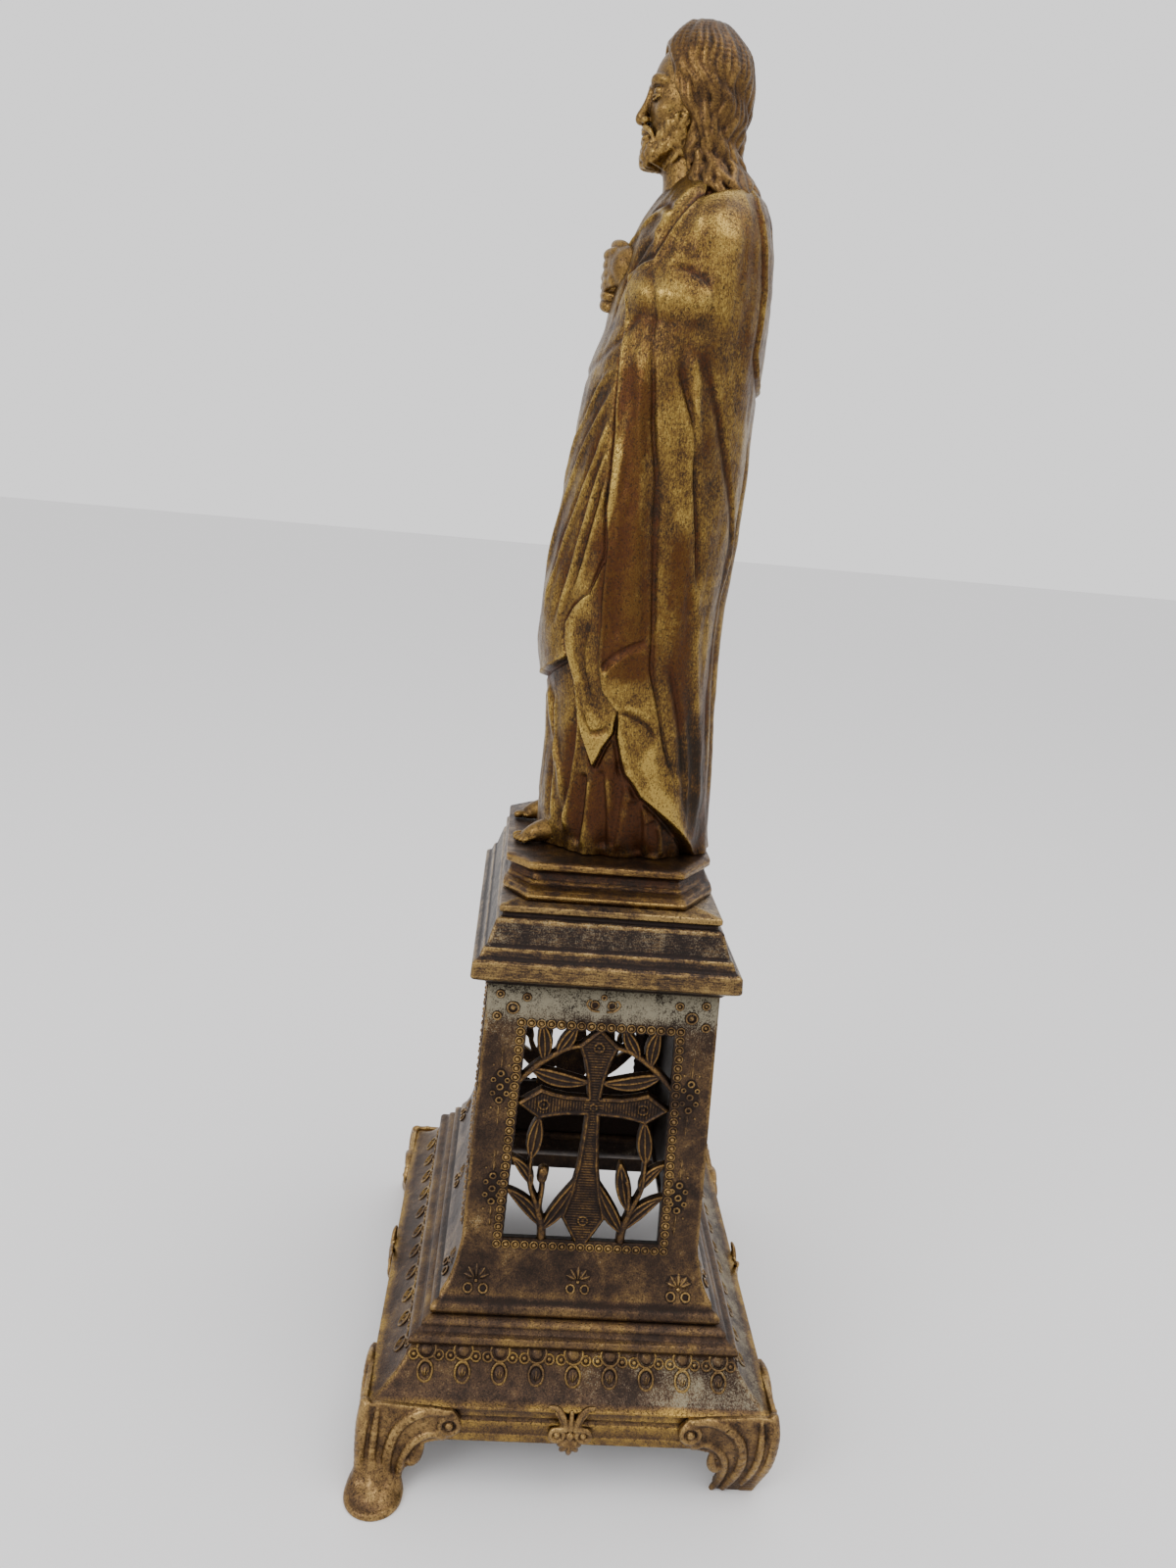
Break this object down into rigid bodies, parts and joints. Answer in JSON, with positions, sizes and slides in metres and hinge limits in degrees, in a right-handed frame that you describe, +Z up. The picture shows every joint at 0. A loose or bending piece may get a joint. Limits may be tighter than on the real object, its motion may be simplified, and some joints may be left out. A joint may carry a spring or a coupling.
{
  "type": "robed statuette on a pierced pedestal",
  "caption": "Cast gilt-metal statuette of a robed figure standing on a tiered rectangular pedestal with pierced cross panels and scroll feet.",
  "frame": {"origin": "centre of the footprint's bounding rectangle, on the surface the feet stand on", "axes": "+Z up, the figure faces -Y, the pedestal's wide side runs along X"},
  "size_m": [0.1874, 0.1396, 0.45],
  "materials": {
    "old_gold": "aged gilt, worn bright on the edges, brown in the recesses",
    "brown_patina": "dark brown patina with gold worn edges",
    "dark_slope": "brown-black patina with pale flecks, ochre gold edges",
    "figure_gold": "yellow gold with red-brown patina in the folds",
    "skin_gold": "yellow gold, softly polished",
    "steel": "dull, lightly stained"
  },
  "bodies": {
    "root": {"base_casting": "old_gold", "foot_front_left": "old_gold", "foot_front_right": "old_gold", "foot_back_left": "old_gold", "foot_back_right": "old_gold", "apron_shell_front": "old_gold", "apron_shell_left": "old_gold", "apron_shell_back": "old_gold", "apron_shell_right": "old_gold", "die_panel_front": "brown_patina", "die_panel_left": "brown_patina", "die_panel_back": "brown_patina", "die_panel_right": "brown_patina", "cross_fret_front": "old_gold", "cross_fret_left": "old_gold", "cross_fret_right": "old_gold", "cap_casting": "dark_slope", "figure_terrace": "figure_gold", "figure_stud": "steel", "stud_washer": "steel", "stud_nut": "steel", "figure_robe": "figure_gold", "figure_cloak": "figure_gold", "sleeve_left": "figure_gold", "sleeve_right": "figure_gold", "hand_left": "skin_gold", "hand_right": "skin_gold", "bare_foot_left": "skin_gold", "bare_foot_right": "skin_gold", "figure_head": "skin_gold", "figure_hair": "figure_gold"}
  },
  "joints": []
}
